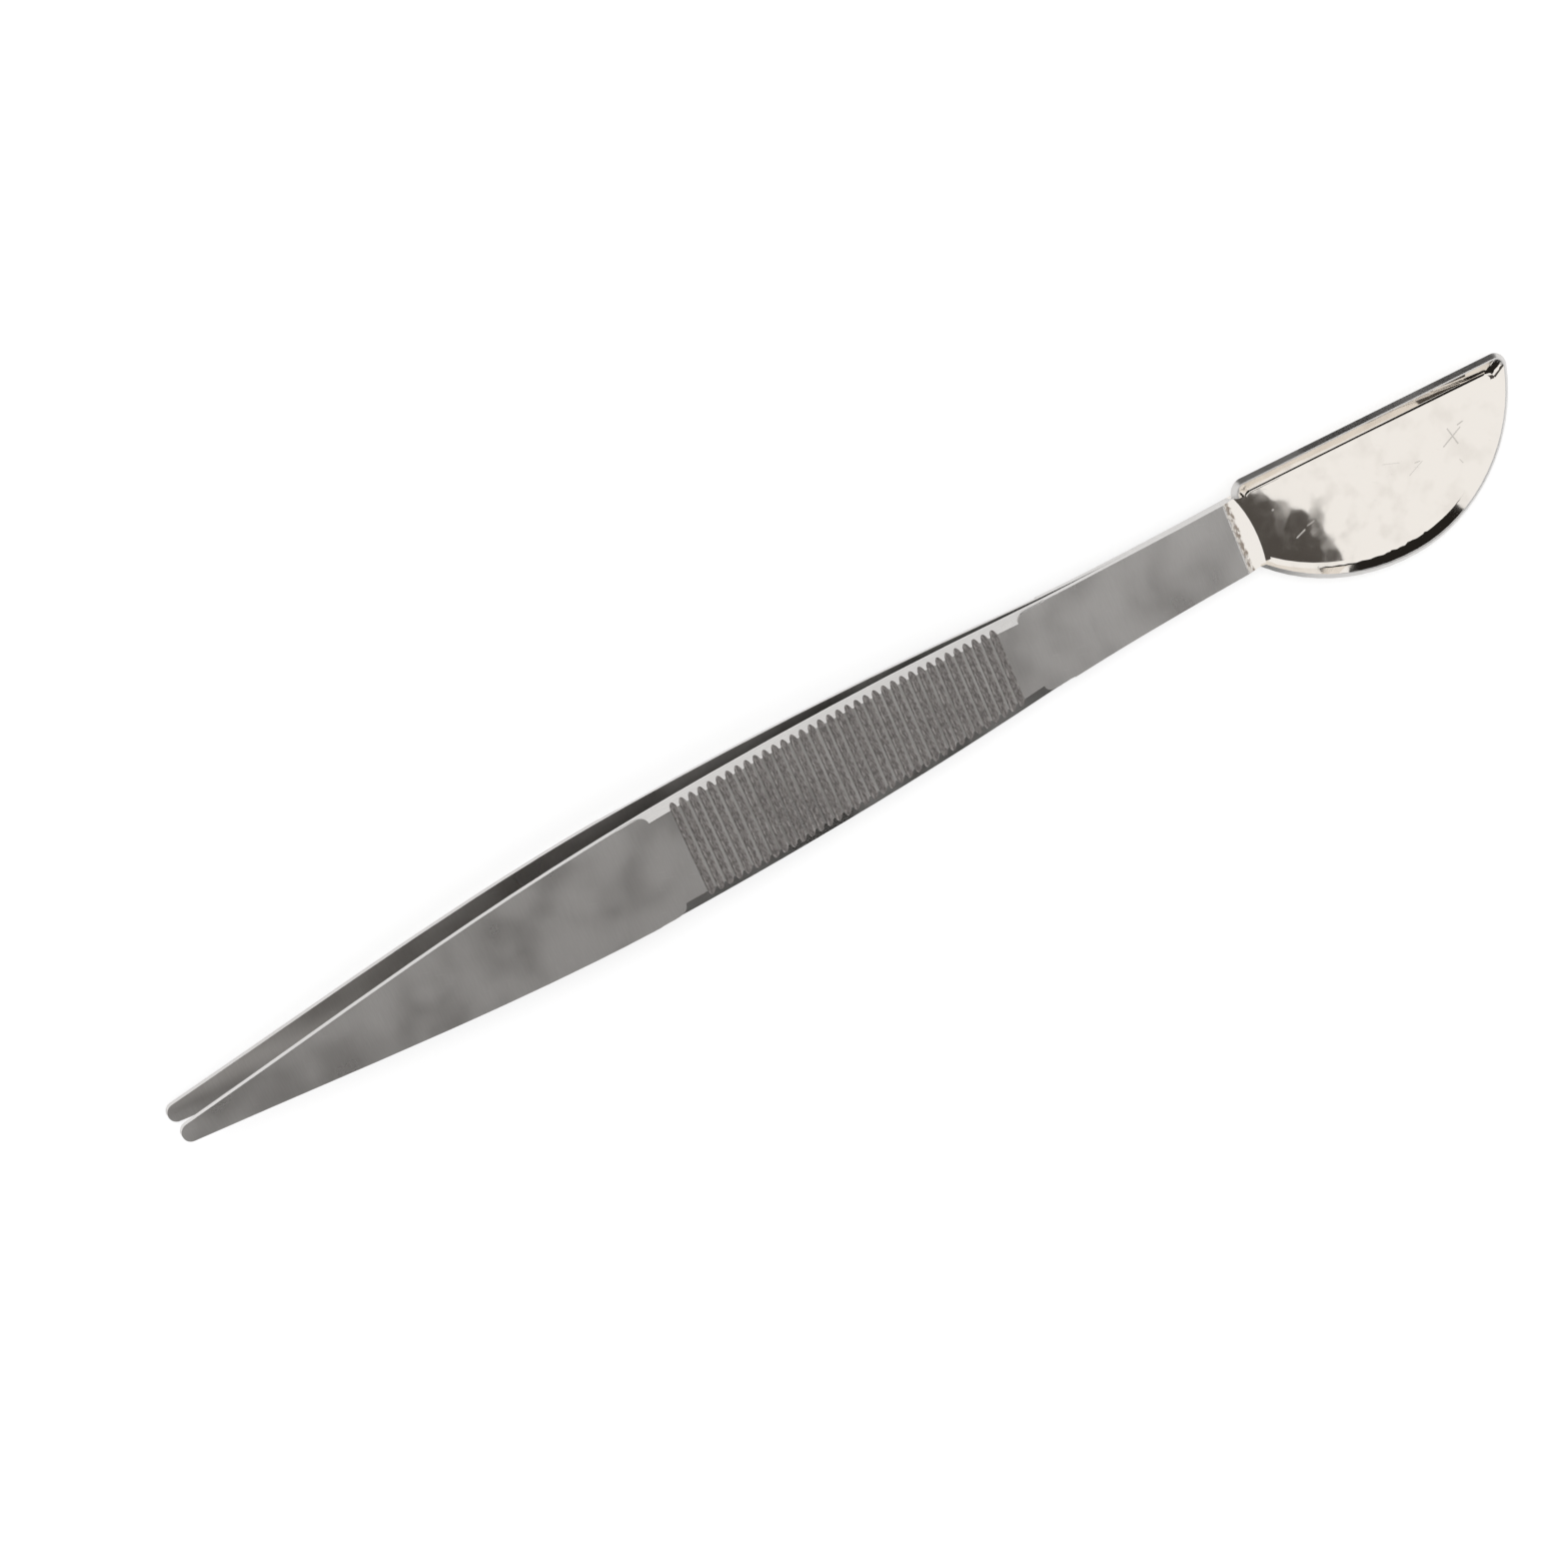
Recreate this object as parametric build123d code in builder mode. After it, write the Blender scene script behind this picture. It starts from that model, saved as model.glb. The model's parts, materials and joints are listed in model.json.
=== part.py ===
from build123d import *
from math import atan2, cos, radians, sin, sqrt, tan
import os

# Sprung tweezers of two steel strips, joined at the tail, where a half-moon spatula is carried.
# In the tool's own frame x runs from the picking tips (negative) past the neck (0) to the spatula,
# y points to the spatula's straight edge, and z = 0 is the face where the two strips lie together.

# Strips
sheet = 1.1                # thickness of both strips and of the spatula
tips_length = 161.0        # neck to the picking tips
weld_length = 20.6         # stretch beside the neck where the strips lie face to face
shoulder_x = -101.0        # here the arms stop spreading and run nearly side by side
shoulder_spread = 3.0      # inner face above the joint face at the shoulder
tip_spread = 4.0           # the same at the picking tips
crotch_bend = 260.0        # radius of the gentle bend out of the joined stretch
shoulder_bend = 400.0      # radius of the bend at the shoulder

# Plan outline of a strip, as half widths
neck_half_width = 5.15
crotch_half_width = 5.45
grip_half_width = 7.4      # widest, at the middle of the grip
grip_widest_x = -78.0
grip_side_radius = 667.0   # the long edges bulge this gently along the grip
tip_half_width = 1.2
tip_round = 1.1            # how far the rounded end stands out past the straight sides

# Grip
groove_pitch = 1.4
groove_width = 1.06        # at the face, which leaves a narrow crest between two grooves
groove_depth = 0.3         # the grooves are scooped, and run out into the bevels
groove_count = 36
grip_front_x = -38.0       # spatula side of the first groove
plain_stretch = 3.1        # from the first or last groove to the end of the bevels
bevel_width = 1.35         # smooth bevel along both long edges of the grip
bevel_drop = 0.5
bevel_runout = 4.6         # length of the scallop where a bevel ends
bevel_margin = 0.15        # the scallop starts this far inside the bevel
scallop_lean = 0.15        # rise for run at which the scallop meets the long edge

# Ground tongue of the upper strip, which lies on the root of the spatula
tongue_reach = 1.65        # furthest point of the rounded end, past the neck
tongue_upper_corner = 0.2
tongue_lower_corner = 1.4
tongue_bevel_length = 4.6
tongue_edge = 0.12         # thickness left at the feathered end

# Spatula
spatula_length = 45.0      # neck to the far end
edge_at_neck = 7.32        # straight edge above the axis at the neck
edge_slope = 2.36          # degrees that it leans towards the axis
belly_x = 22.6             # deepest place of the curved edge
belly_depth = 14.6
root_overlap = 0.32        # the curved edge starts this far inside the strip's lower corner
rim_height = 1.25          # rim above the floor of the dish
rim_land = 0.8             # plan width of the cut edge, which shows as a narrow band all round
rim_slope = 0.6            # of that slopes down outwards, and drops as far, about square to the wall
edge_wall_run = 1.55       # plan width of the slanted wall along the straight edge
belly_wall_run = 1.15      # plan width of the wall along the curved edge
corner_round = 2.0         # corners of the rim, at the neck and at the far end
floor_round = 0.9          # hollow bend between floor and wall
back_round = 1.3           # the same bend on the back
rim_round = 0.1            # where the slope begins, taken off by hand

# How it lies: on the shoulder of the lower arm and on the back of the spatula near its far end
back_contact_x = spatula_length - belly_wall_run - rim_land
rest_angle = atan2(shoulder_spread, back_contact_x - shoulder_x)
centre_x = (spatula_length - tips_length) / 2
slope = tan(radians(edge_slope))
centre_y = (edge_at_neck - corner_round * slope - belly_depth) / 2
tool = Plane(
    origin=(
        -centre_x * cos(rest_angle),
        -centre_y,
        back_contact_x * sin(rest_angle) + sheet * cos(rest_angle),
    ),
    x_dir=(cos(rest_angle), 0, -sin(rest_angle)),
    z_dir=(sin(rest_angle), 0, cos(rest_angle)),
)
side = Plane(origin=tool.origin, x_dir=tool.x_dir, z_dir=-tool.y_dir)

# Outer face of the grip, which the crotch bend tips up a little
spread_angle = atan2(shoulder_spread, -weld_length - shoulder_x)
face_height = sheet / cos(spread_angle) + (-weld_length - grip_widest_x) * tan(spread_angle)
grip_face = Plane(
    origin=tool.from_local_coords(Vector(grip_widest_x, 0, face_height)),
    x_dir=tool.x_dir * cos(spread_angle) - tool.z_dir * sin(spread_angle),
    z_dir=tool.z_dir * cos(spread_angle) + tool.x_dir * sin(spread_angle),
)


def grip_edge(u, inwards=0.0):
    """Half width of a strip at the distance u from its widest place."""
    return grip_half_width - grip_side_radius + sqrt(grip_side_radius**2 - u**2) - inwards


def edge_direction(u):
    """Direction of the long edge there, towards the spatula."""
    return Vector(1, -u / grip_side_radius)


bevel_front_u = grip_front_x + plain_stretch - grip_widest_x
bevel_back_u = grip_front_x - groove_count * groove_pitch - plain_stretch - grip_widest_x
past_tongue = tongue_reach + sheet
groove_radius = (groove_width**2 / 4 + groove_depth**2) / (2 * groove_depth)
groove_middle_u = grip_front_x - groove_count * groove_pitch / 2 - grip_widest_x
groove_row = Plane(
    origin=grip_face.from_local_coords(Vector(groove_middle_u, 0, groove_radius - groove_depth)),
    x_dir=grip_face.x_dir,
    z_dir=-grip_face.y_dir,
)
tip_x = -tips_length + tip_round
taper_direction = Vector(tip_x - shoulder_x, tip_half_width - grip_half_width)

# Plain strip, with the plan outline and the side profile of one arm
with BuildPart() as strip:
    with BuildSketch(side):
        with BuildLine():
            FilletPolyline(
                (past_tongue, 0),
                (-weld_length, 0),
                (shoulder_x, shoulder_spread),
                (-tips_length, tip_spread),
                radius=[crotch_bend, shoulder_bend],
            )
            offset(amount=sheet, side=Side.RIGHT)
        make_face()
    extrude(amount=2 * grip_half_width, both=True)
    with BuildSketch(tool):
        with BuildLine():
            Line((past_tongue, neck_half_width), (0, neck_half_width))
            Spline(
                (0, neck_half_width),
                (-weld_length, crotch_half_width),
                (grip_widest_x + bevel_front_u, grip_edge(bevel_front_u)),
                tangents=[(-1, 0), -edge_direction(bevel_front_u)],
            )
            ThreePointArc(
                (grip_widest_x + bevel_front_u, grip_edge(bevel_front_u)),
                (grip_widest_x, grip_half_width),
                (grip_widest_x + bevel_back_u, grip_edge(bevel_back_u)),
            )
            Spline(
                (grip_widest_x + bevel_back_u, grip_edge(bevel_back_u)),
                (tip_x, tip_half_width),
                tangents=[-edge_direction(bevel_back_u), taper_direction],
            )
            mirror(about=Plane.XZ)
            ThreePointArc((tip_x, tip_half_width), (-tips_length, 0), (tip_x, -tip_half_width))
            Line((past_tongue, neck_half_width), (past_tongue, -neck_half_width))
        make_face()
    extrude(amount=2 * (tip_spread + sheet), both=True, mode=Mode.INTERSECT)

# Wedge that is ground off one long edge of the grip, with a scallop at both of its ends
with BuildPart() as bevel_wedge:
    with BuildLine(grip_face) as edge_path:
        ThreePointArc(
            (bevel_front_u + bevel_runout, grip_edge(bevel_front_u + bevel_runout)),
            (0, grip_half_width),
            (bevel_back_u - bevel_runout, grip_edge(bevel_back_u - bevel_runout)),
        )
    path_start = Plane(edge_path.line @ 0, x_dir=grip_face.z_dir, z_dir=edge_path.line % 0)
    with BuildSketch(path_start):
        with BuildLine():
            Polyline(
                (0, -bevel_width),
                (-2 * bevel_drop, bevel_width),
                (bevel_drop, bevel_width),
                (bevel_drop, -bevel_width),
                close=True,
            )
        make_face()
    sweep()
    with BuildSketch(grip_face):
        with BuildLine():
            for end_u, runout in ((bevel_front_u, bevel_runout), (bevel_back_u, -bevel_runout)):
                inner = Vector(end_u, grip_edge(end_u, bevel_width + bevel_margin))
                outer = Vector(end_u + runout, grip_edge(end_u + runout))
                Spline(inner, outer, tangents=[(0, 1), (runout / bevel_runout, scallop_lean)])
                Line(outer, (outer.X, 2 * grip_half_width))
            Line(
                (bevel_front_u + bevel_runout, 2 * grip_half_width),
                (bevel_back_u - bevel_runout, 2 * grip_half_width),
            )
            Line(
                (bevel_front_u, grip_edge(bevel_front_u, bevel_width + bevel_margin)),
                (bevel_back_u, grip_edge(bevel_back_u, bevel_width + bevel_margin)),
            )
        make_face()
    extrude(amount=2 * sheet, both=True, mode=Mode.INTERSECT)

# One arm with its ground bevels and the grooves of the grip
with BuildPart() as gripped_arm:
    add(strip.part)
    add(bevel_wedge.part, mode=Mode.SUBTRACT)
    add(bevel_wedge.part.mirror(Plane.XZ.offset(centre_y)), mode=Mode.SUBTRACT)
    with BuildSketch(groove_row):
        with GridLocations(groove_pitch, 0, groove_count, 1):
            Circle(groove_radius)
    extrude(amount=grip_half_width, both=True, mode=Mode.SUBTRACT)

# Upper arm: its tail is ground down to a rounded tongue
with BuildPart() as upper_arm:
    add(gripped_arm.part)
    with BuildSketch(side):
        with BuildLine():
            Polyline(
                (past_tongue - tongue_bevel_length, sheet),
                (past_tongue, tongue_edge / 2),
                (2 * past_tongue, tongue_edge / 2),
                (2 * past_tongue, 2 * sheet),
                (past_tongue - tongue_bevel_length, 2 * sheet),
                close=True,
            )
        make_face()
    extrude(amount=2 * neck_half_width, both=True, mode=Mode.SUBTRACT)
    with BuildSketch(tool):
        with BuildLine():
            ThreePointArc(
                (tongue_upper_corner, neck_half_width),
                (tongue_reach, -neck_half_width / 8),
                (tongue_lower_corner, -neck_half_width),
            )
            Polyline(
                (tongue_lower_corner, -neck_half_width),
                (tongue_lower_corner, -2 * neck_half_width),
                (2 * past_tongue, -2 * neck_half_width),
                (2 * past_tongue, 2 * neck_half_width),
                (tongue_upper_corner, 2 * neck_half_width),
                (tongue_upper_corner, neck_half_width),
            )
        make_face()
    extrude(amount=2 * sheet, both=True, mode=Mode.SUBTRACT)
upper_arm.part.label = "upper_arm"


far_rise = belly_depth + edge_at_neck - spatula_length * slope - corner_round
far_run = spatula_length - belly_x
belly_far_radius = (far_run**2 + far_rise**2) / (2 * far_rise)


def half_moon(plane, edge_inset, belly_inset, corner, root_y):
    """Outline of the spatula on a plane, with its straight edge and its belly drawn in."""
    lean = Vector(1, -slope).normalized()
    edge_start = Vector(0, edge_at_neck - edge_inset / lean.X)
    far_centre = Vector(belly_x, belly_far_radius - belly_depth)
    far_radius = belly_far_radius - belly_inset
    along = (far_centre - edge_start).dot(lean)
    off_line = (edge_start + lean * along - far_centre).length
    far_corner = edge_start + lean * (along + sqrt(far_radius**2 - off_line**2))
    neck_corner = edge_start + lean * (belly_inset / lean.X)
    deepest = Vector(belly_x, belly_inset - belly_depth)
    far_middle = far_centre + (far_corner + deepest - 2 * far_centre).normalized() * far_radius
    with BuildSketch(plane) as outline:
        with BuildLine():
            Line(neck_corner, far_corner)
            ThreePointArc(far_corner, far_middle, deepest)
            TangentArc(deepest, (belly_inset, root_y), tangent=(-1, 0))
            Line((belly_inset, root_y), neck_corner)
        make_face()
        fillet(outline.vertices().group_by(Axis.Y)[-1], corner)
        fillet(outline.vertices().sort_by(Axis.X)[-1], corner)
    return outline.sketch


# Hollow of the dish
tool_up = Axis(tool.origin, tool.z_dir)
floor_inset = rim_land + belly_wall_run
with BuildPart() as hollow:
    hollow_round = corner_round - rim_land
    hollow_top = half_moon(
        tool.offset(rim_height), rim_land, rim_land, hollow_round, -neck_half_width
    )
    hollow_floor = half_moon(
        tool, rim_land + edge_wall_run, floor_inset, hollow_round, -neck_half_width
    )
    loft(sections=[hollow_top, hollow_floor])
    fillet(hollow.faces().sort_by(tool_up)[0].edges(), floor_round)

# Lower arm, which runs on into the spatula
with BuildPart() as spatula_arm:
    root_y = root_overlap - neck_half_width
    rim_outline = half_moon(tool.offset(rim_height - rim_slope), 0, 0, corner_round, root_y)
    crest_outline = half_moon(
        tool.offset(rim_height), rim_slope, rim_slope, corner_round - rim_slope, root_y + rim_slope
    )
    back_outline = half_moon(
        tool.offset(-sheet), edge_wall_run, belly_wall_run, corner_round, root_y + belly_wall_run
    )
    loft(sections=[rim_outline, back_outline])
    fillet(spatula_arm.faces().sort_by(tool_up)[0].edges(), back_round)
    loft(sections=[rim_outline, crest_outline])
    fillet(spatula_arm.faces().sort_by(tool_up)[-1].edges(), rim_round)
    add(hollow.part, mode=Mode.SUBTRACT)
    # the rim is open at the neck, where the tongue comes in
    with BuildSketch(tool):
        with BuildLine():
            slot_end = floor_inset + floor_round / 2
            floor_edge_y = edge_at_neck - rim_land - edge_wall_run - slot_end * slope
            Polyline(
                (-sheet, neck_half_width),
                (tongue_upper_corner, neck_half_width),
                (slot_end, floor_edge_y - floor_round / 2),
                (slot_end, -neck_half_width),
                (-sheet, -neck_half_width),
                close=True,
            )
        make_face()
    extrude(amount=2 * rim_height, mode=Mode.SUBTRACT)
    add(gripped_arm.part.mirror(tool))
spatula_arm.part.label = "spatula_arm"

os.makedirs("parts", exist_ok=True)
export_step(upper_arm.part, "parts/upper_arm.step")
export_step(spatula_arm.part, "parts/spatula_arm.step")
print("length", round(spatula_length + tips_length, 1), "tip gap", 2 * tip_spread)
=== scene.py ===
import json
import math

import bmesh
import bpy
import numpy as np
from mathutils import Matrix, Vector


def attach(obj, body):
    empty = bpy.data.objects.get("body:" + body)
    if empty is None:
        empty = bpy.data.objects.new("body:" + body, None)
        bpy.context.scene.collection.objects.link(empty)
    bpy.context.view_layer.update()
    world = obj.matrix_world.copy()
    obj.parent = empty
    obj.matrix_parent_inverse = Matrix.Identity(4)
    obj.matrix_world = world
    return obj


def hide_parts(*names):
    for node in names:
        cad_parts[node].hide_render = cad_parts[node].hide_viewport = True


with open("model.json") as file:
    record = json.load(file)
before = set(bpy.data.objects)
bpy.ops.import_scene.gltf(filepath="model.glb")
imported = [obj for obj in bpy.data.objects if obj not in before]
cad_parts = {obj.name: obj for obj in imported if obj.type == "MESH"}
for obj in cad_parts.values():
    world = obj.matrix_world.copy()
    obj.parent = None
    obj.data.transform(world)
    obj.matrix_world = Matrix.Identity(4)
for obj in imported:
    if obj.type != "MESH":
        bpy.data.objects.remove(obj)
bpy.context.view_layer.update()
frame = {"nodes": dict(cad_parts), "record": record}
print("frame loaded:", ", ".join(sorted(frame["nodes"])))

# The tool's own frame, in millimetres: x runs from the picking tips (negative) past the neck (0)
# to the spatula, y points to its straight edge, and z = 0 is where the two strips lie together.
mm = 0.001
mountPlace = Vector((20, -3, -1.1))     # where the spatula_back mount lies in that frame
backMount = next(mount for mount in frame["record"]["mounts"] if mount["name"] == "spatula_back")
toolUp = -Vector(backMount["axis"])
toolSide = Vector((0, 1, 0))
toolAlong = toolSide.cross(toolUp)
toolTurn = Matrix((toolAlong, toolSide, toolUp)).transposed()
backTurn = toolTurn.transposed()        # from the scene back to the tool's own directions
toolOrigin = Vector(backMount["pos_m"]) - toolTurn @ mountPlace * mm

arms = {
    "sheet": 1.1,               # thickness of both strips
    "weldLength": 20.6,         # the strips lie face to face this far from the neck
    "shoulderX": -101.0,
    "shoulderSpread": 3.0,      # inner face above the joint face at the shoulder
    "groovePitch": 1.4,
    "grooveCount": 36,
    "gripFrontX": -38.0,        # spatula side of the first groove
}
spreadAngle = math.atan2(arms["shoulderSpread"], -arms["weldLength"] - arms["shoulderX"])
gripBackX = arms["gripFrontX"] - arms["grooveCount"] * arms["groovePitch"]


# Place in the scene of a point given in the tool's own frame
def atTool(x, y, z):
    return toolOrigin + toolTurn @ Vector((x, y, z)) * mm


# Height of the upper arm's outer face over the joint face
def armFace(x):
    rise = (-arms["weldLength"] - x) * math.tan(spreadAngle)
    return arms["sheet"] / math.cos(spreadAngle) + rise


# Shader helpers

def link(tree, source, target):
    tree.links.new(source, target)


def feed(tree, socket, value):
    if isinstance(value, bpy.types.NodeSocket):
        tree.links.new(value, socket)
    else:
        socket.default_value = value


def addNode(tree, kind, label="", **settings):
    node = tree.nodes.new(kind)
    node.label = label
    for name, value in settings.items():
        setattr(node, name, value)
    return node


def calc(tree, operation, first, second=0.0, clamp=False):
    node = addNode(tree, "ShaderNodeMath", operation=operation, use_clamp=clamp)
    feed(tree, node.inputs[0], first)
    feed(tree, node.inputs[1], second)
    return node.outputs[0]


def blendTone(tree, mask, low, high):
    node = addNode(tree, "ShaderNodeMix", data_type="RGBA")
    for index, value in ((0, mask), (6, low), (7, high)):   # factor and the two colours
        feed(tree, node.inputs[index], value)
    return node.outputs[2]


# Runs smoothly from low to high while value goes from start to end
def fade(tree, value, start, end, low=0.0, high=1.0):
    node = addNode(tree, "ShaderNodeMapRange", interpolation_type="SMOOTHSTEP")
    for socket, number in zip(node.inputs[0:5], (value, start, end, low, high)):
        feed(tree, socket, number)
    return node.outputs[0]


def newGroup(name, inputs, outputs):
    group = bpy.data.node_groups.new(name, "ShaderNodeTree")
    for socketName, kind, value in inputs:
        socket = group.interface.new_socket(socketName, in_out="INPUT", socket_type=kind)
        if value is not None:
            socket.default_value = value
    for socketName in outputs:
        group.interface.new_socket(socketName, in_out="OUTPUT", socket_type="NodeSocketFloat")
    return group, group.nodes.new("NodeGroupInput"), group.nodes.new("NodeGroupOutput")


cloud = {
    "scale": 0.11,              # about 9 mm from one soft patch to the next
    "detail": 2.0,
    "low": 0.3,                 # roughness changes between these two values of the cloud
    "high": 0.7,
}


# Fine grain drawn out along one direction, as a belt or a wheel leaves it
def brushedGrainGroup():
    group, given, made = newGroup(
        "brushedGrain",
        [("Place", "NodeSocketVector", None), ("Stretch", "NodeSocketVector", (1.0, 1.0, 1.0)),
         ("Detail", "NodeSocketFloat", 3.0)],
        ["Grain", "Cloud"],
    )
    drawn = addNode(group, "ShaderNodeVectorMath", "drawn out", operation="MULTIPLY")
    link(group, given.outputs["Place"], drawn.inputs[0])
    link(group, given.outputs["Stretch"], drawn.inputs[1])
    grain = addNode(group, "ShaderNodeTexNoise", "grain")
    link(group, drawn.outputs[0], grain.inputs["Vector"])
    link(group, given.outputs["Detail"], grain.inputs["Detail"])
    grain.inputs["Scale"].default_value = 1.0
    slow = addNode(group, "ShaderNodeTexNoise", "slow change over the surface")
    link(group, given.outputs["Place"], slow.inputs["Vector"])
    slow.inputs["Scale"].default_value = cloud["scale"]
    slow.inputs["Detail"].default_value = cloud["detail"]
    link(group, grain.outputs[0], made.inputs["Grain"])
    link(group, slow.outputs[0], made.inputs["Cloud"])
    return group


hairline = {
    "stretch": (0.35, 7.0, 1.0),
    "level": 0.76,              # of the noise, over which a line shows where the amount is 0
    "softness": 0.05,
}


# Sparse fine scratches that lie mostly one way, as wiping leaves them
def hairlineGroup():
    group, given, made = newGroup(
        "hairlines",
        [("Place", "NodeSocketVector", None), ("Turn", "NodeSocketFloat", 0.4),
         ("Amount", "NodeSocketFloat", 0.1)],
        ["Mask"],
    )
    turned = addNode(group, "ShaderNodeVectorRotate", "turned", rotation_type="Z_AXIS")
    link(group, given.outputs["Place"], turned.inputs["Vector"])
    link(group, given.outputs["Turn"], turned.inputs["Angle"])
    drawn = addNode(group, "ShaderNodeVectorMath", "drawn out", operation="MULTIPLY")
    link(group, turned.outputs[0], drawn.inputs[0])
    drawn.inputs[1].default_value = hairline["stretch"]
    lines = addNode(group, "ShaderNodeTexNoise", "lines")
    link(group, drawn.outputs[0], lines.inputs["Vector"])
    lines.inputs["Scale"].default_value = 1.0
    lines.inputs["Detail"].default_value = 1.0
    threshold = calc(group, "SUBTRACT", hairline["level"], given.outputs["Amount"])
    full = calc(group, "ADD", threshold, hairline["softness"])
    link(group, fade(group, lines.outputs[0], threshold, full), made.inputs["Mask"])
    return group


scratchCore = 0.3               # share of a scratch's half width that has its full strength


# One scratch or mark between two places
def scratchGroup():
    group, given, made = newGroup(
        "oneScratch",
        [("Place", "NodeSocketVector", None), ("Start", "NodeSocketVector", (0.0, 0.0, 0.0)),
         ("End", "NodeSocketVector", (1.0, 0.0, 0.0)), ("Width", "NodeSocketFloat", 0.1),
         ("Strength", "NodeSocketFloat", 1.0)],
        ["Mask"],
    )

    def vectorStep(operation, first, second, output=0):
        node = addNode(group, "ShaderNodeVectorMath", operation=operation)
        link(group, first, node.inputs[0])
        link(group, second, node.inputs[1])
        return node.outputs[output]

    reach = vectorStep("SUBTRACT", given.outputs["Place"], given.outputs["Start"])
    line = vectorStep("SUBTRACT", given.outputs["End"], given.outputs["Start"])
    share = calc(
        group, "DIVIDE", vectorStep("DOT_PRODUCT", reach, line, 1),
        vectorStep("DOT_PRODUCT", line, line, 1), clamp=True,
    )
    nearest = addNode(group, "ShaderNodeVectorMath", operation="SCALE")
    link(group, line, nearest.inputs[0])
    link(group, share, nearest.inputs["Scale"])
    off = vectorStep("DISTANCE", reach, nearest.outputs[0], 1)
    core = calc(group, "MULTIPLY", given.outputs["Width"], scratchCore)
    mask = fade(group, off, given.outputs["Width"], core)
    link(group, calc(group, "MULTIPLY", mask, given.outputs["Strength"]), made.inputs["Mask"])
    return group


brushedGrain = brushedGrainGroup()
hairlines = hairlineGroup()
oneScratch = scratchGroup()


def placeGroup(tree, group, **values):
    node = addNode(tree, "ShaderNodeGroup", group.name, node_tree=group)
    for name, value in values.items():
        feed(tree, node.inputs[name], value)
    return node


# A metal with its place read in the tool's own frame, in millimetres
def startSteel(name):
    material = bpy.data.materials.new(name)
    material.use_nodes = True
    tree = material.node_tree
    shader = tree.nodes["Principled BSDF"]
    shader.inputs["Metallic"].default_value = 1.0
    coordinates = addNode(tree, "ShaderNodeTexCoord")
    mapping = addNode(tree, "ShaderNodeMapping", "to the tool's own frame")
    mapping.inputs["Scale"].default_value = (1 / mm, 1 / mm, 1 / mm)
    mapping.inputs["Rotation"].default_value = backTurn.to_euler()
    mapping.inputs["Location"].default_value = backTurn @ toolOrigin * (-1 / mm)
    link(tree, coordinates.outputs["Object"], mapping.inputs["Vector"])
    return material, tree, shader, mapping.outputs[0]


# The bump's depth is given in millimetres
def addBump(tree, shader, height, strength, depth):
    bump = addNode(tree, "ShaderNodeBump")
    bump.inputs["Strength"].default_value = strength
    bump.inputs["Distance"].default_value = depth * mm
    link(tree, height, bump.inputs["Height"])
    link(tree, bump.outputs[0], shader.inputs["Normal"])


satin = {
    "dark": (0.50, 0.485, 0.47, 1),
    "light": (0.60, 0.585, 0.57, 1),
    "roughness": 0.27,
    "roughnessChange": 0.10,
    "stretch": (9.0, 0.5, 9.0),      # grain runs across the arm
    "bump": 0.12,
    "bumpDepth": 0.02,
    "hairlineTurn": 0.35,
    "hairlineAmount": 0.04,
    "hairlineShare": 0.35,
    "hairlineTone": (0.72, 0.71, 0.69, 1),
}


def satinSteel():
    material, tree, shader, place = startSteel("satinSteel")
    grain = placeGroup(tree, brushedGrain, Place=place, Stretch=satin["stretch"])
    lines = placeGroup(
        tree, hairlines, Place=place, Turn=satin["hairlineTurn"], Amount=satin["hairlineAmount"],
    )
    tone = blendTone(tree, grain.outputs["Grain"], satin["dark"], satin["light"])
    lineMask = calc(tree, "MULTIPLY", lines.outputs[0], satin["hairlineShare"])
    link(tree, blendTone(tree, lineMask, tone, satin["hairlineTone"]), shader.inputs["Base Color"])
    rough = fade(
        tree, grain.outputs["Cloud"], cloud["low"], cloud["high"],
        satin["roughness"], satin["roughness"] + satin["roughnessChange"],
    )
    link(tree, rough, shader.inputs["Roughness"])
    addBump(tree, shader, grain.outputs["Grain"], satin["bump"], satin["bumpDepth"])
    return material


# The grooves of the grip. Both their dark and their light tone are far darker than the satin face: this is
# painted shade in the hollows, and random grain mixes the two tones.
scoop = {
    "dark": (0.20, 0.185, 0.18, 1),
    "light": (0.40, 0.375, 0.36, 1),
    "darkRoughness": 0.52,
    "lightRoughness": 0.34,
    "speckle": (0.35, 0.65),         # grain values at which the tone is fully dark and light
    "stretch": (5.0, 1.6, 5.0),
    "detail": 6.0,
    "bump": 0.5,
    "bumpDepth": 0.05,
}


def scoopedSteel():
    material, tree, shader, place = startSteel("scoopedSteel")
    grain = placeGroup(tree, brushedGrain, Place=place, Stretch=scoop["stretch"], Detail=scoop["detail"])
    mask = fade(tree, grain.outputs["Grain"], *scoop["speckle"])
    # Painted shade: the grooves get two dark tones, mixed by the grain
    link(tree, blendTone(tree, mask, scoop["dark"], scoop["light"]), shader.inputs["Base Color"])
    rough = fade(tree, mask, 0, 1, scoop["darkRoughness"], scoop["lightRoughness"])
    link(tree, rough, shader.inputs["Roughness"])
    addBump(tree, shader, grain.outputs["Grain"], scoop["bump"], scoop["bumpDepth"])
    return material


# The bevels, the cut edges and the rim
ground = {
    "dark": (0.60, 0.585, 0.57, 1),
    "light": (0.72, 0.705, 0.69, 1),
    "roughness": 0.30,
    "roughnessChange": 0.05,         # either way
    "stretch": (0.6, 8.0, 8.0),      # the wheel ran along the edge
    "bump": 0.12,
    "bumpDepth": 0.02,
}


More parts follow.
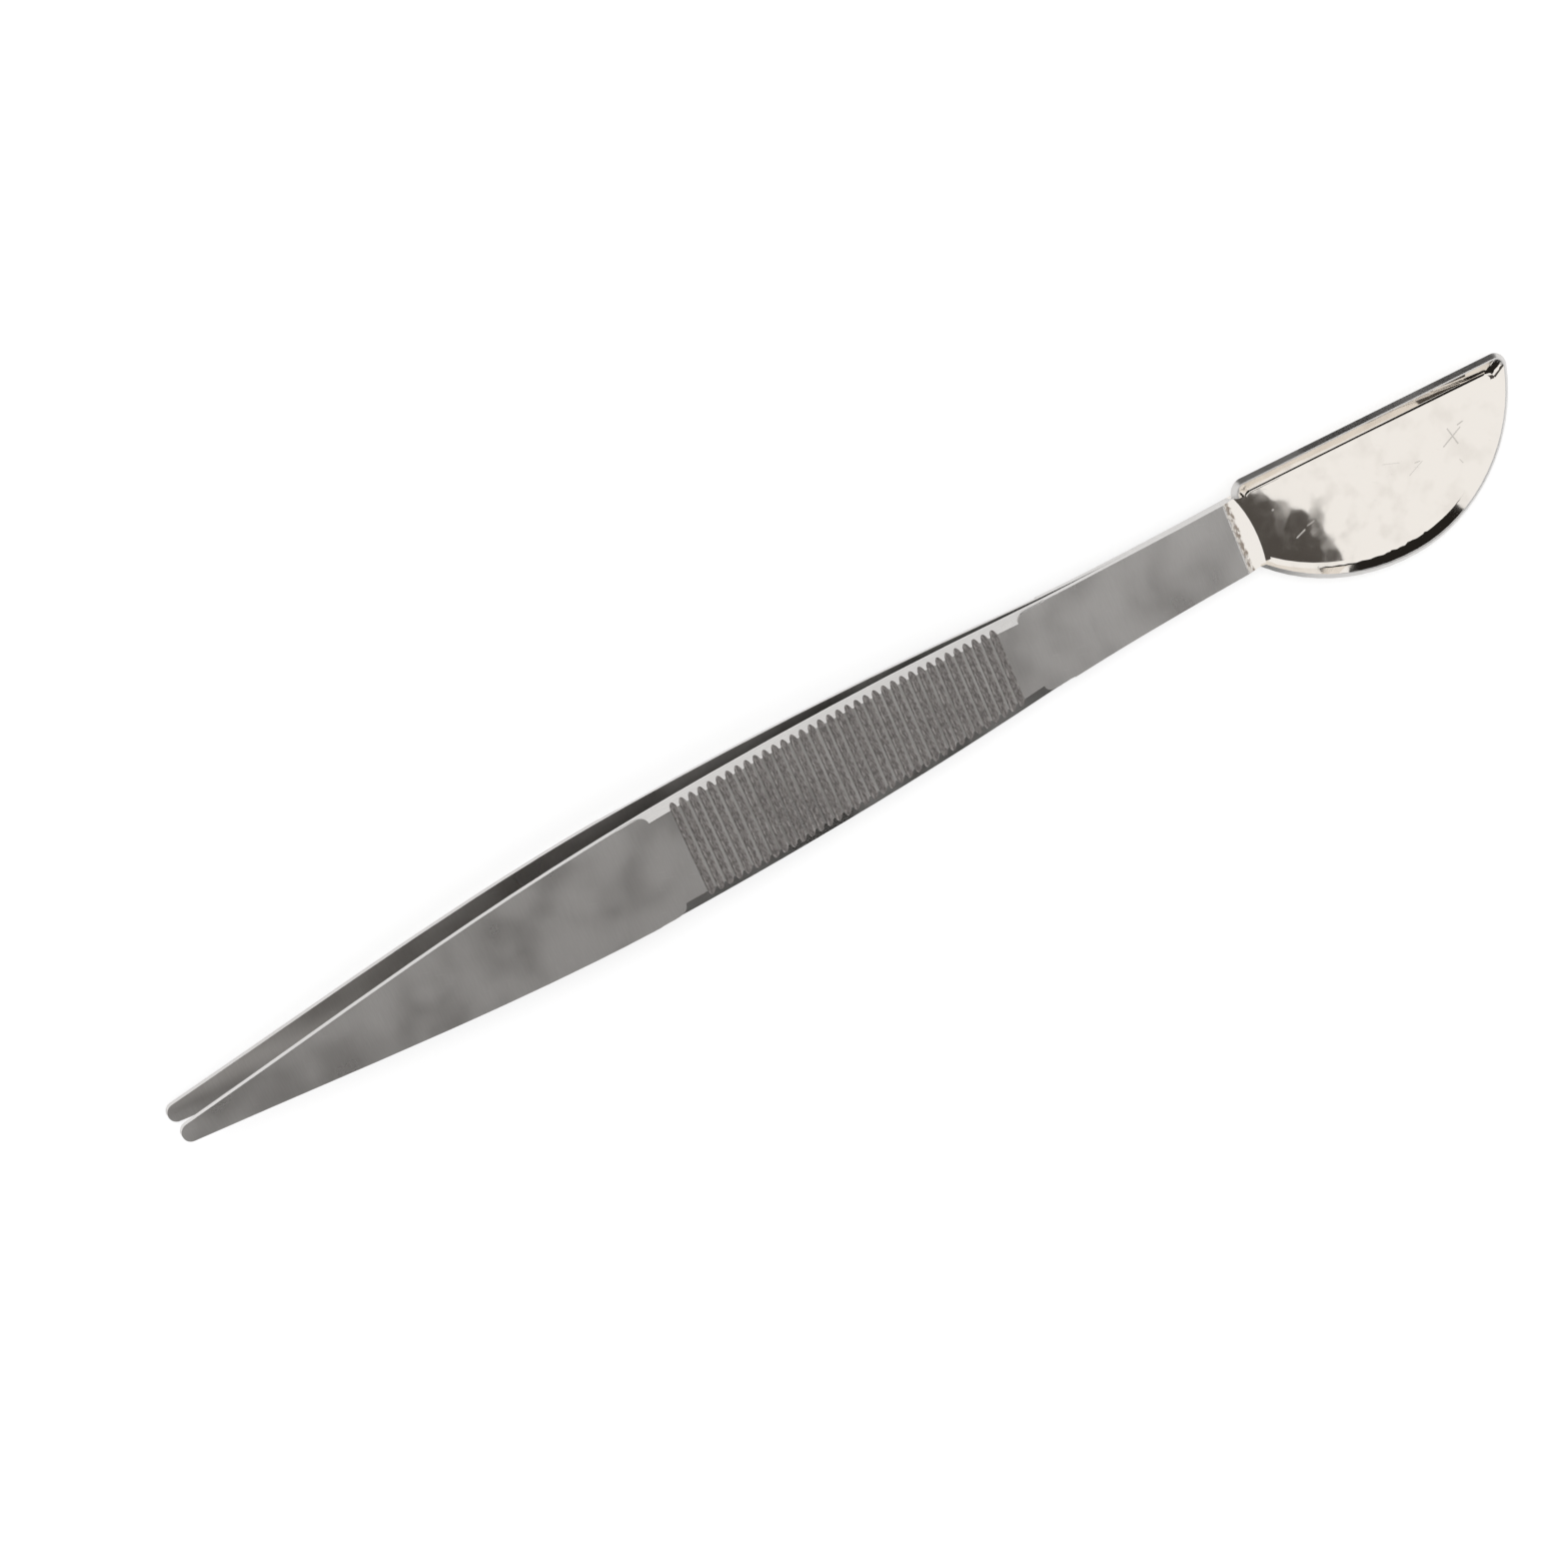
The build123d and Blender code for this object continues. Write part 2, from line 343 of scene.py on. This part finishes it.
def groundSteel():
    material, tree, shader, place = startSteel("groundSteel")
    grain = placeGroup(tree, brushedGrain, Place=place, Stretch=ground["stretch"])
    tone = blendTone(tree, grain.outputs["Grain"], ground["dark"], ground["light"])
    link(tree, tone, shader.inputs["Base Color"])
    rough = fade(
        tree, grain.outputs["Cloud"], cloud["low"], cloud["high"],
        ground["roughness"] - ground["roughnessChange"], ground["roughness"] + ground["roughnessChange"],
    )
    link(tree, rough, shader.inputs["Roughness"])
    addBump(tree, shader, grain.outputs["Grain"], ground["bump"], ground["bumpDepth"])
    return material


mirror = {
    "tone": (0.86, 0.815, 0.76, 1),
    "smudge": (0.80, 0.755, 0.70, 1),
    "scratch": (0.60, 0.57, 0.53, 1),
    "roughness": 0.035,
    "smudgeRoughness": 0.075,
    "scratchRoughness": 0.3,         # added to it
    "smudgeStretch": (0.25, 0.25, 0.25),
    "smudgeDetail": 2.0,
    "smudgeRange": (0.45, 0.7),
    "hairlineTurn": 0.6,
    "hairlineAmount": 0.03,
    "hairlineShare": 0.25,
    "waviness": 0.35,
    "wavinessDepth": 0.12,
}
# Marks on the floor of the dish: start, end, half width and strength, in the tool's own frame
dishMarks = [
    ((33.56, -1.17, 0), (34.33, -3.73, 0), 0.16, 0.75),
    ((32.13, -3.17, 0), (35.42, -1.82, 0), 0.16, 0.75),
    ((35.20, -1.33, 0), (36.09, -1.22, 0), 0.14, 0.9),
    ((27.28, -3.19, 0), (28.04, -3.29, 0), 0.12, 0.6),
    ((25.89, -4.40, 0), (28.36, -3.46, 0), 0.12, 0.45),
    ((33.76, -5.90, 0), (34.05, -6.56, 0), 0.12, 0.6),
    ((22.73, -1.17, 0), (25.05, -2.06, 0), 0.12, 0.3),
    ((7.08, -4.33, 0), (8.52, -3.89, 0), 0.16, 0.8),
    ((9.17, -3.54, 0), (10.26, -3.40, 0), 0.12, 0.5),
    ((5.20, 0.80, 0), (5.27, 0.84, 0), 0.17, 1.0),
]


def mirrorSteel():
    material, tree, shader, place = startSteel("mirrorSteel")
    grain = placeGroup(
        tree, brushedGrain, Place=place, Stretch=mirror["smudgeStretch"], Detail=mirror["smudgeDetail"],
    )
    lines = placeGroup(
        tree, hairlines, Place=place, Turn=mirror["hairlineTurn"], Amount=mirror["hairlineAmount"],
    )
    marks = calc(tree, "MULTIPLY", lines.outputs[0], mirror["hairlineShare"])
    for start, end, width, strength in dishMarks:
        mark = placeGroup(tree, oneScratch, Place=place, Start=start, End=end, Width=width, Strength=strength)
        marks = calc(tree, "MAXIMUM", marks, mark.outputs[0])
    smudge = fade(tree, grain.outputs["Grain"], *mirror["smudgeRange"])
    tone = blendTone(tree, smudge, mirror["tone"], mirror["smudge"])
    link(tree, blendTone(tree, marks, tone, mirror["scratch"]), shader.inputs["Base Color"])
    rough = fade(tree, smudge, 0, 1, mirror["roughness"], mirror["smudgeRoughness"])
    rough = calc(tree, "ADD", rough, calc(tree, "MULTIPLY", marks, mirror["scratchRoughness"]))
    link(tree, rough, shader.inputs["Roughness"])
    addBump(tree, shader, grain.outputs["Cloud"], mirror["waviness"], mirror["wavinessDepth"])
    return material


tongue = {
    "polished": (0.86, 0.82, 0.77, 1),
    "solder": (0.80, 0.76, 0.71, 1),
    "burnt": (0.40, 0.34, 0.29, 1),
    "roughness": 0.09,
    "lineRoughness": 0.5,
    "lineX": -1.25,                  # middle of the rough line left by the joint
    "lineWidth": 0.75,
    "lineSoftness": 0.15,
    "lineWander": 1.3,
    "lineBump": 0.8,
    "lineBumpDepth": 0.08,
    "satinSoftness": 0.1,            # half of the change from satin arm to polished tongue
    "blotStretch": (2.2, 1.1, 2.2),
    "blotDetail": 4.0,
    "blotRange": (0.42, 0.58),
}


def tongueSteel():
    material, tree, shader, place = startSteel("tongueSteel")
    parts = addNode(tree, "ShaderNodeSeparateXYZ")
    link(tree, place, parts.inputs[0])
    blots = placeGroup(
        tree, brushedGrain, Place=place, Stretch=tongue["blotStretch"], Detail=tongue["blotDetail"],
    )
    offMiddle = calc(tree, "SUBTRACT", blots.outputs["Grain"], 0.5)
    x = calc(tree, "ADD", parts.outputs["X"], calc(tree, "MULTIPLY", offMiddle, tongue["lineWander"]))
    offLine = calc(tree, "ABSOLUTE", calc(tree, "SUBTRACT", x, tongue["lineX"]))
    halfLine, soft = tongue["lineWidth"] / 2, tongue["lineSoftness"]
    line = fade(tree, offLine, halfLine + soft, halfLine - soft)
    soft = tongue["satinSoftness"]
    satinSide = fade(tree, x, tongue["lineX"] + soft, tongue["lineX"] - soft)
    blotMask = fade(tree, blots.outputs["Grain"], *tongue["blotRange"])
    blotTone = blendTone(tree, blotMask, tongue["burnt"], tongue["solder"])
    tone = blendTone(tree, satinSide, tongue["polished"], satin["light"])
    link(tree, blendTone(tree, line, tone, blotTone), shader.inputs["Base Color"])
    rough = fade(tree, satinSide, 0, 1, tongue["roughness"], satin["roughness"])
    lineRough = calc(tree, "MULTIPLY", line, tongue["lineRoughness"])
    link(tree, calc(tree, "MAXIMUM", rough, lineRough), shader.inputs["Roughness"])
    height = calc(tree, "MULTIPLY", blots.outputs["Grain"], line)
    addBump(tree, shader, height, tongue["lineBump"], tongue["lineBumpDepth"])
    return material


finishes = {
    "satin": satinSteel(),
    "scoop": scoopedSteel(),
    "ground": groundSteel(),
    "mirror": mirrorSteel(),
    "tongue": tongueSteel(),
}
print("finishes made:", ", ".join(finishes))


# The two strips, with each face in its own finish

rim = {
    "middleX": 22.6,            # of the dish, to tell the rim's outward slope from the wall
    "middleY": -3.0,
    "slopeFrom": 0.6,           # heights over the floor of the dish
    "borderFrom": 1.15,
}
# How the other faces are told apart: a facing is the least share of the normal that points that way
telling = {
    "outFacing": 0.3,
    "edgeFacing": 0.6,          # sideways, on a cut edge
    "bevelFacing": 0.2,         # sideways, on a bevel
    "grooveFacing": 0.15,       # sideways, and a groove has less
    "grooveDrop": 0.02,         # a groove lies at least this far under the arm's face
    "gripMargin": 0.2,
    "tongueFrom": -2.2,         # from here on the upper arm has the tongue's finish
}
mergeDistance = 1e-7            # metres


# Finish of one face, told from its place and direction in the tool's own frame
def faceFinish(node, centre, normal):
    x, y, z = centre
    outer = normal[2] if node == "upper_arm" else -normal[2]
    height = z if node == "upper_arm" else -z
    sideways = abs(normal[1])
    if node == "spatula_arm" and x > 0:
        outwards = (x - rim["middleX"]) * normal[0] + (y - rim["middleY"]) * normal[1] > 0
        onRim = z > rim["borderFrom"] or (z > rim["slopeFrom"] and outwards)
        return "ground" if onRim and normal[2] > telling["outFacing"] else "mirror"
    if node == "upper_arm" and x > telling["tongueFrom"] and normal[2] > telling["outFacing"]:
        return "tongue"
    if outer < telling["outFacing"]:
        return "ground" if sideways > telling["edgeFacing"] else "satin"
    margin = telling["gripMargin"]
    inGrip = gripBackX - margin < x < arms["gripFrontX"] + margin
    sunk = armFace(x) - height > telling["grooveDrop"]
    if inGrip and sunk and sideways < telling["grooveFacing"]:
        return "scoop"
    return "ground" if sideways > telling["bevelFacing"] else "satin"


# A copy of the node's mesh with its loose triangles joined and its corner normals kept
def mergedCopy(node, name):
    mesh = frame["nodes"][node].data.copy()
    mesh.name = name
    normals = np.zeros(len(mesh.loops) * 3, dtype=np.float32)
    mesh.corner_normals.foreach_get("vector", normals)
    kept = mesh.attributes.new("keptNormal", "FLOAT_VECTOR", "CORNER")
    kept.data.foreach_set("vector", normals)
    joined = bmesh.new()
    joined.from_mesh(mesh)
    bmesh.ops.remove_doubles(joined, verts=joined.verts, dist=mergeDistance)
    joined.to_mesh(mesh)
    joined.free()
    normals = np.zeros(len(mesh.loops) * 3, dtype=np.float32)
    mesh.attributes["keptNormal"].data.foreach_get("vector", normals)
    mesh.attributes.remove(mesh.attributes["keptNormal"])
    mesh.normals_split_custom_set(normals.reshape(-1, 3).tolist())
    return mesh


# A copy of the strip's own mesh that carries one material for each finish
def dressStrip(node, name):
    mesh = mergedCopy(node, name)
    mesh.materials.clear()
    order = list(finishes)
    for finish in order:
        mesh.materials.append(finishes[finish])
    turn = np.array(backTurn)
    centres = np.zeros(len(mesh.polygons) * 3)
    normals = np.zeros(len(mesh.polygons) * 3)
    mesh.polygons.foreach_get("center", centres)
    mesh.polygons.foreach_get("normal", normals)
    centres = (centres.reshape(-1, 3) - np.array(toolOrigin)) @ turn.T / mm
    normals = normals.reshape(-1, 3) @ turn.T
    chosen = [order.index(faceFinish(node, *face)) for face in zip(centres, normals)]
    mesh.polygons.foreach_set("material_index", chosen)
    strip = bpy.data.objects.new(name, mesh)
    bpy.context.scene.collection.objects.link(strip)
    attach(strip, "root")
    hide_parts(node)


dressStrip("upper_arm", "upperArm")
dressStrip("spatula_arm", "spatulaArm")
print("strips dressed")


# Floor, light and the dark cards that the polished steel reflects

studio = {
    "floorSize": 6.0,           # metres
    "floorTone": (0.93, 0.93, 0.93, 1),
    "floorRoughness": 0.9,
    "floorGlow": 0.55,          # share of plain white that the floor shows
    "worldStrength": 1.0,
    "lampPower": 2.5,           # watts
    "lampSize": 0.5,            # metres
    "lampPlace": (-300, 350, 700),
}
cameraView = {
    "place": (-178.26, 144.70, 413.66),
    "right": (0.850068, -0.390201, 0.353780),
    "up": (0.471342, 0.863336, -0.180333),
    "lens": 80.0,
    "sensor": 36.0,
    "clipStart": 0.01,          # metres
}
# The side cards stand upright; low and high are heights over the joint face
cards = {
    "overArmsHeight": 300.0,
    "overArmsBackX": -700.0,
    "overArmsTone": (0.085, 0.078, 0.072, 1),
    "sideTone": (0.02, 0.018, 0.016, 1),
    "sideEndX": 420.0,
    "farSide": {"y": -260.0, "startX": -260.0, "low": 52.0, "high": 270.0},
    "nearSide": {"y": 260.0, "startX": 5.0, "low": 20.0, "high": 300.0},
}
# The edge of the card over the arms, as it shows on the floor of the dish
cardEdge = [
    (0.0, 26.0), (3.0, 8.0), (3.85, 4.17), (4.76, 2.77), (6.05, 1.66), (7.84, 0.63), (9.01, -0.91),
    (10.12, -2.5), (10.59, -3.79), (10.40, -5.1), (10.47, -6.53), (11.15, -7.95), (11.88, -9.14),
    (12.4, -11.0), (13.0, -16.0), (14.0, -40.0),
]


# 1 for what the camera sees straight on, or in metal or glass
def seenPlainly(tree):
    path = addNode(tree, "ShaderNodeLightPath")
    seen = calc(tree, "ADD", path.outputs["Is Camera Ray"], path.outputs["Is Glossy Ray"])
    return calc(tree, "ADD", seen, path.outputs["Is Transmission Ray"], clamp=True)


def makeFloor():
    bpy.ops.mesh.primitive_plane_add(size=studio["floorSize"])
    floor = bpy.context.object
    floor.name = "floor"
    material = bpy.data.materials.new("paleFloor")
    material.use_nodes = True
    tree = material.node_tree
    shader = tree.nodes["Principled BSDF"]
    shader.inputs["Base Color"].default_value = studio["floorTone"]
    shader.inputs["Roughness"].default_value = studio["floorRoughness"]
    glow = addNode(tree, "ShaderNodeEmission")
    mix = addNode(tree, "ShaderNodeMixShader")
    link(tree, calc(tree, "MULTIPLY", seenPlainly(tree), studio["floorGlow"]), mix.inputs[0])
    link(tree, shader.outputs[0], mix.inputs[1])
    link(tree, glow.outputs[0], mix.inputs[2])
    link(tree, mix.outputs[0], tree.nodes["Material Output"].inputs["Surface"])
    floor.data.materials.append(material)


# A dark card, in points of the tool's own frame, that only shows in the steel
def makeCard(name, corners, tone):
    mesh = bpy.data.meshes.new(name)
    mesh.from_pydata([atTool(*corner) for corner in corners], [], [list(range(len(corners)))])
    material = bpy.data.materials.new(name)
    material.use_nodes = True
    tree = material.node_tree
    tree.nodes.remove(tree.nodes["Principled BSDF"])
    glow = addNode(tree, "ShaderNodeEmission")
    glow.inputs["Color"].default_value = tone
    link(tree, glow.outputs[0], tree.nodes["Material Output"].inputs["Surface"])
    mesh.materials.append(material)
    card = bpy.data.objects.new(name, mesh)
    bpy.context.scene.collection.objects.link(card)
    card.visible_camera = False
    card.visible_diffuse = False
    card.visible_shadow = False
    card.visible_transmission = False


def makeSideCard(name, size):
    start, end = (size["startX"], size["y"]), (cards["sideEndX"], size["y"])
    low, high = size["low"], size["high"]
    makeCard(name, [(*start, low), (*end, low), (*end, high), (*start, high)], cards["sideTone"])


# Where the camera's sight line over (x, y) on the dish goes on to, at a height above it
def aboveDish(x, y, height):
    fromX, fromY, fromZ = cameraView["place"]
    reach = (height + fromZ) / fromZ
    return fromX + reach * (x - fromX), fromY + reach * (y - fromY), height


def makeCards():
    height, backX = cards["overArmsHeight"], cards["overArmsBackX"]
    edge = [aboveDish(x, y, height) for x, y in cardEdge]
    corners = [(backX, edge[0][1], height), *edge, (backX, edge[-1][1], height)]
    makeCard("cardOverArms", corners, cards["overArmsTone"])
    makeSideCard("cardFarSide", cards["farSide"])
    makeSideCard("cardNearSide", cards["nearSide"])


def makeLight():
    world = bpy.data.worlds.new("paleStudio")
    bpy.context.scene.world = world
    world.use_nodes = True
    background = world.node_tree.nodes["Background"]
    background.inputs["Color"].default_value = (1, 1, 1, 1)
    background.inputs["Strength"].default_value = studio["worldStrength"]
    lamp = bpy.data.lights.new("softLamp", "AREA")
    lamp.shape = "DISK"
    lamp.size = studio["lampSize"]
    lamp.energy = studio["lampPower"]
    lampObject = bpy.data.objects.new("softLamp", lamp)
    lampObject.location = atTool(*studio["lampPlace"])
    lampObject.rotation_euler = (-lampObject.location).to_track_quat("-Z", "Y").to_euler()
    lampObject.visible_glossy = False
    bpy.context.scene.collection.objects.link(lampObject)


def makeCamera():
    camera = bpy.data.cameras.new("camera")
    camera.lens = cameraView["lens"]
    camera.sensor_width = cameraView["sensor"]
    camera.clip_start = cameraView["clipStart"]
    right = toolTurn @ Vector(cameraView["right"])
    up = toolTurn @ Vector(cameraView["up"])
    turn = Matrix((right, up, right.cross(up))).transposed()
    cameraObject = bpy.data.objects.new("camera", camera)
    cameraObject.matrix_world = Matrix.Translation(atTool(*cameraView["place"])) @ turn.to_4x4()
    bpy.context.scene.collection.objects.link(cameraObject)
    bpy.context.scene.camera = cameraObject


makeFloor()
makeCards()
makeLight()
makeCamera()
bpy.context.scene.view_settings.view_transform = "Standard"
print("floor, light and camera made")
